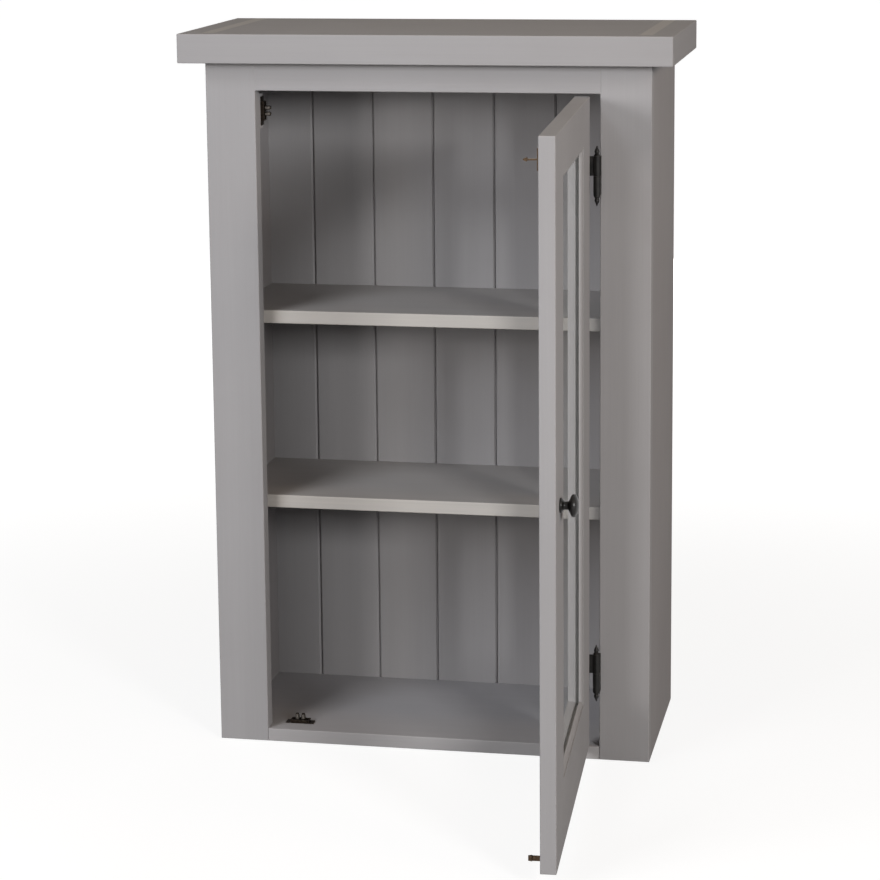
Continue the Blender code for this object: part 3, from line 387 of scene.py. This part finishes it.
def finish_of(node):
    """The finish of a CAD node, from what the node is."""
    if "spring" in node:
        return STEEL
    if "glass" in node:
        return GLASS
    if "roller" in node:
        return BRONZE["roller"]
    if "strike" in node:
        return BRONZE["strike"]
    if "catch_body" in node or "jaw" in node:
        return BRONZE["plate"]
    is_hinge = "hinge_" in node and not node.startswith("door")
    if is_hinge or node.startswith("knob"):
        return IRON
    if node.startswith("top_cleat"):
        return PAINT["cleat"]
    if node.endswith("shelf"):
        return PAINT["shelf"]
    if node.endswith("_side"):
        return PAINT["side"]
    if node == "base_board":
        return PAINT["base"]
    if node in LEVEL_GRAIN:
        return PAINT["level"]
    if node in DEEP_GRAIN:
        return PAINT["deep"]
    return PAINT["upright"]


def dress_nodes():
    """Give every CAD node its finish."""
    for name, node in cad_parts.items():
        node.material_slots[0].material = finish_of(name)


# Screws

def turned(profile, sides):
    """Solid turned about Z from radius and height pairs that start and end on the axis."""
    bm = bmesh.new()
    angles = [2 * math.pi * i / sides for i in range(sides)]
    rings = []
    for radius, height in profile:
        if radius == 0:
            rings.append([bm.verts.new((0, 0, height))] * sides)
        else:
            rings.append([bm.verts.new((radius * math.cos(a), radius * math.sin(a), height)) for a in angles])
    for lower, upper in zip(rings, rings[1:]):
        for i in range(sides):
            j = (i + 1) % sides
            corners = dict.fromkeys((lower[i], lower[j], upper[j], upper[i]))
            bm.faces.new(list(corners))
    bmesh.ops.recalc_face_normals(bm, faces=bm.faces)
    return bm


def mesh_of(bm, name):
    """Turn an edit mesh into a mesh of its own."""
    mesh = bpy.data.meshes.new(name)
    bm.to_mesh(mesh)
    bm.free()
    return mesh


def screw_mesh():
    """Countersunk slotted screw: its head's face is at z = 0 and its point is at +Z."""
    body = turned(
        [
            (0, 0),
            (SCREW_HEAD_RADIUS, 0),
            (SCREW_HEAD_RADIUS, SCREW_RIM_HEIGHT),
            (SCREW_SHANK_RADIUS, SCREW_HEAD_HEIGHT),
            (SCREW_SHANK_RADIUS, SCREW_LENGTH - SCREW_POINT),
            (0, SCREW_LENGTH),
        ],
        SCREW_SIDES,
    )
    screw = bpy.data.objects.new("screw", mesh_of(body, "screw"))
    # The cutter reaches past the rim at both ends, and half of it stands above the head's face
    slot = bmesh.new()
    size = Matrix.Diagonal((4 * SCREW_HEAD_RADIUS, SCREW_SLOT_WIDTH, 2 * SCREW_SLOT_DEPTH, 1))
    bmesh.ops.create_cube(slot, size=1.0, matrix=size)
    cutter = bpy.data.objects.new("slot", mesh_of(slot, "slot"))
    for piece in (screw, cutter):
        bpy.context.scene.collection.objects.link(piece)
    cut = screw.modifiers.new("slot", "BOOLEAN")
    cut.object = cutter
    cut.solver = "EXACT"
    graph = bpy.context.evaluated_depsgraph_get()
    mesh = bpy.data.meshes.new_from_object(screw.evaluated_get(graph))
    for piece in (screw, cutter):
        bpy.data.objects.remove(piece)
    return mesh


def pointing(location, direction):
    """Matrix that stands +Z along a direction at a location."""
    turn = Vector(direction).to_track_quat("Z", "Y").to_matrix().to_4x4()
    return Matrix.Translation(location) @ turn


DOOR_TURN = (
    Matrix.Translation(DOOR_PIVOT)
    @ Matrix.Rotation(math.radians(DOOR_OPEN_ANGLE), 4, "Z")
    @ Matrix.Translation(-DOOR_PIVOT)
)
# Turns a catch that lies on the base to stand against the left stile
UPRIGHT = Matrix(((0, 0, 1), (0, 1, 0), (-1, 0, 0))).to_4x4()
CATCHES = {
    "upper": Matrix.Translation((-OPENING + SEAT, CATCH_Y, OPENING_TOP - UPPER_CATCH_DROP)) @ UPRIGHT,
    "lower": Matrix.Translation((-OPENING + LOWER_CATCH_INSET, CATCH_Y, BASE_THICKNESS + SEAT)),
}
HINGE_MIDDLES = {"upper": DOOR_TOP - HINGE_END_DISTANCE, "lower": DOOR_BOTTOM + HINGE_END_DISTANCE}


def strike_matrix(side):
    """Where a strike's plate lies on the shut door."""
    catch = CATCHES[side]
    middle = catch @ Vector((0, 0, ROLLER_MIDDLE))
    middle.y = DOOR_INSIDE + SEAT
    return Matrix.Translation(middle) @ catch.to_3x3().to_4x4()


def screw_places():
    """Name, body, finish and place of each screw."""
    found = []
    for side in ("upper", "lower"):
        for end, sign in (("first", -1), ("second", 1)):
            z = HINGE_MIDDLES[side] + sign * HINGE_SCREW_SPACING / 2
            frame_leaf = pointing((OPENING, FRONT + LEAF_WIDTH / 2, z), (1, 0, 0))
            door_leaf = pointing((DOOR_HINGE_EDGE, DOOR_FACE + LEAF_WIDTH / 2, z), (-1, 0, 0))
            step = Matrix.Translation((sign * CATCH_SCREW_SPACING / 2, 0, 0))
            catch = CATCHES[side] @ step @ pointing((0, 0, CATCH_PLATE_THICKNESS), (0, 0, -1))
            step = Matrix.Translation((sign * STRIKE_SCREW_SPACING / 2, 0, 0))
            strike = strike_matrix(side) @ step @ pointing((0, STRIKE_PLATE_THICKNESS, 0), (0, -1, 0))
            for fitting, body, finish, place in (
                ("hinge_frame", "carcass", "black_iron", frame_leaf),
                ("hinge_door", "door", "black_iron", DOOR_TURN @ door_leaf),
                ("catch", "carcass", "dark_bronze", catch),
                ("strike", "door", "dark_bronze", DOOR_TURN @ strike),
            ):
                found.append(("%s_%s_screw_%s" % (side, fitting, end), body, finish, place))
    return found


def add_screws():
    """Slotted screws in the countersunk holes of the hinges, catches and strikes."""
    meshes = {}
    for finish, material in (("black_iron", IRON), ("dark_bronze", BRONZE["plate"])):
        meshes[finish] = screw_mesh()
        meshes[finish].materials.append(material)
    for number, (name, body, finish, place) in enumerate(screw_places()):
        screw = bpy.data.objects.new(name, meshes[finish])
        bpy.context.scene.collection.objects.link(screw)
        turn = Matrix.Rotation(SCREW_SLOT_TURN * number, 4, "Z")
        screw.matrix_world = place @ Matrix.Translation((0, 0, SCREW_SINK)) @ turn
        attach(screw, body)


# Paint over the face frame's joints

def add_joint_paint():
    """Film of paint that bridges the hairline joint at each end of the face frame's rail."""
    for side, sign in (("left", -1), ("right", 1)):
        size = Vector((JOINT_PAINT_WIDTH, JOINT_PAINT_THICKNESS, CARCASS_HEIGHT - OPENING_TOP))
        left = sign * (OPENING - SEAT / 2) - JOINT_PAINT_WIDTH / 2
        low = Vector((left, FRONT - JOINT_PAINT_LIFT - JOINT_PAINT_THICKNESS, OPENING_TOP))
        bm = bmesh.new()
        place = Matrix.Translation(low + size / 2) @ Matrix.Diagonal((*size, 1))
        bmesh.ops.create_cube(bm, size=1.0, matrix=place)
        strip = bpy.data.objects.new("face_frame_joint_paint_" + side, mesh_of(bm, "joint_paint"))
        strip.data.materials.append(PAINT["upright"])
        bpy.context.scene.collection.objects.link(strip)
        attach(strip, "carcass")


# Springs

def spring_mesh(sign):
    """Round-wire coil between a jaw's outer end and the channel's stop, in its catch's own frame."""
    start = JAW_END + SEAT + SPRING_WIRE_RADIUS
    end = CHANNEL_STOP - SEAT - SPRING_WIRE_RADIUS
    count = round(SPRING_TURNS * SPRING_POINTS_PER_TURN)
    bm = bmesh.new()
    rings = []
    for i in range(count + 1):
        angle = 2 * math.pi * i / SPRING_POINTS_PER_TURN
        outward = Vector((0, math.cos(angle), math.sin(angle)))
        centre = Vector((start + (end - start) * i / count, 0, JAW_AXIS_HEIGHT)) + outward * SPRING_RADIUS
        ring = []
        for j in range(SPRING_WIRE_SIDES):
            turn = 2 * math.pi * j / SPRING_WIRE_SIDES
            point = centre + SPRING_WIRE_RADIUS * (outward * math.cos(turn) + Vector((math.sin(turn), 0, 0)))
            ring.append(bm.verts.new((sign * point.x, point.y, point.z)))
        rings.append(ring)
    for lower, upper in zip(rings, rings[1:]):
        for j in range(SPRING_WIRE_SIDES):
            k = (j + 1) % SPRING_WIRE_SIDES
            bm.faces.new((lower[j], lower[k], upper[k], upper[j]))
    for end_ring in (rings[0], rings[-1]):
        bm.faces.new(end_ring)
    bmesh.ops.recalc_face_normals(bm, faces=bm.faces)
    for face in bm.faces:
        is_end = len(face.verts) == SPRING_WIRE_SIDES
        face.smooth = not is_end
    return mesh_of(bm, "spring")


def add_springs():
    """Coils in place of the part's coarser springs, squashed by their jaws."""
    for side, catch in CATCHES.items():
        for hand, sign in (("first", -1), ("second", 1)):
            stem = "%s_catch_%s_" % (side, hand)
            spring = bpy.data.objects.new(stem + "coil", spring_mesh(sign))
            spring.data.materials.append(STEEL)
            bpy.context.scene.collection.objects.link(spring)
            spring.matrix_world = catch
            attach(spring, "carcass")
            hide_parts(stem + "spring")
            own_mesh(spring)


# Stage, light and camera

def seen_directly(tree):
    """One for rays from the camera, or by way of a mirror or glass; nought for light on the object."""
    path = tree.nodes.new("ShaderNodeLightPath")
    seen = path.outputs["Is Camera Ray"]
    for name in ("Is Glossy Ray", "Is Transmission Ray"):
        either = tree.nodes.new("ShaderNodeMath")
        either.operation = "MAXIMUM"
        tree.links.new(seen, either.inputs[0])
        tree.links.new(path.outputs[name], either.inputs[1])
        seen = either.outputs[0]
    return seen


def add_world():
    """White where it is seen, and a dim warm room as light."""
    world = bpy.data.worlds.new("room")
    bpy.context.scene.world = world
    world.use_nodes = True
    tree = world.node_tree
    tree.nodes.clear()
    room = tree.nodes.new("ShaderNodeBackground")
    room.inputs["Color"].default_value = ROOM_COLOUR
    room.inputs["Strength"].default_value = ROOM_LEVEL
    white = tree.nodes.new("ShaderNodeBackground")
    white.inputs["Color"].default_value = (1, 1, 1, 1)
    mix = tree.nodes.new("ShaderNodeMixShader")
    out = tree.nodes.new("ShaderNodeOutputWorld")
    tree.links.new(seen_directly(tree), mix.inputs[0])
    tree.links.new(room.outputs[0], mix.inputs[1])
    tree.links.new(white.outputs[0], mix.inputs[2])
    tree.links.new(mix.outputs[0], out.inputs["Surface"])


def floor_glow(tree):
    """Glow of the floor by its distance from the object: less near it for the shadow, more at the horizon."""
    place = tree.nodes.new("ShaderNodeTexCoord")
    distance = tree.nodes.new("ShaderNodeVectorMath")
    distance.operation = "LENGTH"
    glow = tree.nodes.new("ShaderNodeMapRange")
    glow.interpolation_type = "SMOOTHSTEP"
    for name, value in zip(("From Min", "From Max", "To Min", "To Max"), FLOOR_GLOW_SPAN + FLOOR_GLOW):
        glow.inputs[name].default_value = value
    tree.links.new(place.outputs["Object"], distance.inputs[0])
    tree.links.new(distance.outputs["Value"], glow.inputs["Value"])
    return glow.outputs[0]


def add_floor():
    """Pale floor that reads as white and keeps a soft shadow."""
    bm = bmesh.new()
    bmesh.ops.create_grid(bm, x_segments=1, y_segments=1, size=FLOOR_SIZE / 2)
    floor = bpy.data.objects.new("floor", mesh_of(bm, "floor"))
    floor.location.z = FLOOR_LEVEL
    bpy.context.scene.collection.objects.link(floor)
    material = bpy.data.materials.new("floor")
    material.use_nodes = True
    tree = material.node_tree
    tree.nodes.clear()
    matt = tree.nodes.new("ShaderNodeBsdfDiffuse")
    matt.inputs["Color"].default_value = (FLOOR_ALBEDO, FLOOR_ALBEDO, FLOOR_ALBEDO, 1)
    light = tree.nodes.new("ShaderNodeEmission")
    strength = tree.nodes.new("ShaderNodeMath")
    strength.operation = "MULTIPLY"
    both = tree.nodes.new("ShaderNodeAddShader")
    out = tree.nodes.new("ShaderNodeOutputMaterial")
    tree.links.new(seen_directly(tree), strength.inputs[0])
    tree.links.new(floor_glow(tree), strength.inputs[1])
    tree.links.new(strength.outputs[0], light.inputs["Strength"])
    tree.links.new(matt.outputs[0], both.inputs[0])
    tree.links.new(light.outputs[0], both.inputs[1])
    tree.links.new(both.outputs[0], out.inputs["Surface"])
    floor.data.materials.append(material)


def add_lamp(name, place, size, level, colour):
    """Square soft lamp aimed at the object; level 1 lights a facing surface to its own colour."""
    data = bpy.data.lights.new(name, "AREA")
    data.size = size
    data.color = colour
    place = Vector(place)
    data.energy = level * (math.pi * (AIM - place).length) ** 2
    lamp = bpy.data.objects.new(name, data)
    lamp.location = place
    lamp.rotation_euler = (AIM - place).to_track_quat("-Z", "Y").to_euler()
    bpy.context.scene.collection.objects.link(lamp)


def add_camera():
    """Camera where the photograph's was; yaw turns it from +Y towards +X and pitch lowers its aim."""
    data = bpy.data.cameras.new("camera")
    data.sensor_width = SENSOR_WIDTH
    data.lens = CAMERA_FOCUS_PIXELS / PHOTO_PIXELS * SENSOR_WIDTH
    data.shift_y = CAMERA_SHIFT_Y
    camera = bpy.data.objects.new("camera", data)
    level = math.cos(CAMERA_PITCH)
    forward = Vector((math.sin(CAMERA_YAW) * level, math.cos(CAMERA_YAW) * level, -math.sin(CAMERA_PITCH)))
    right = Vector((math.cos(CAMERA_YAW), -math.sin(CAMERA_YAW), 0))
    down = forward.cross(right)
    cosine = math.cos(CAMERA_ROLL)
    sine = math.sin(CAMERA_ROLL)
    across = cosine * right + sine * down
    up = sine * right - cosine * down
    turn = Matrix((across, up, -forward)).transposed().to_4x4()
    camera.matrix_world = Matrix.Translation(CAMERA_PLACE) @ turn
    bpy.context.scene.collection.objects.link(camera)
    bpy.context.scene.camera = camera


dress_nodes()
add_screws()
add_joint_paint()
add_springs()
add_world()
add_floor()
for lamp in LAMPS:
    add_lamp(*lamp)
add_camera()
bpy.context.scene.view_settings.view_transform = "Standard"
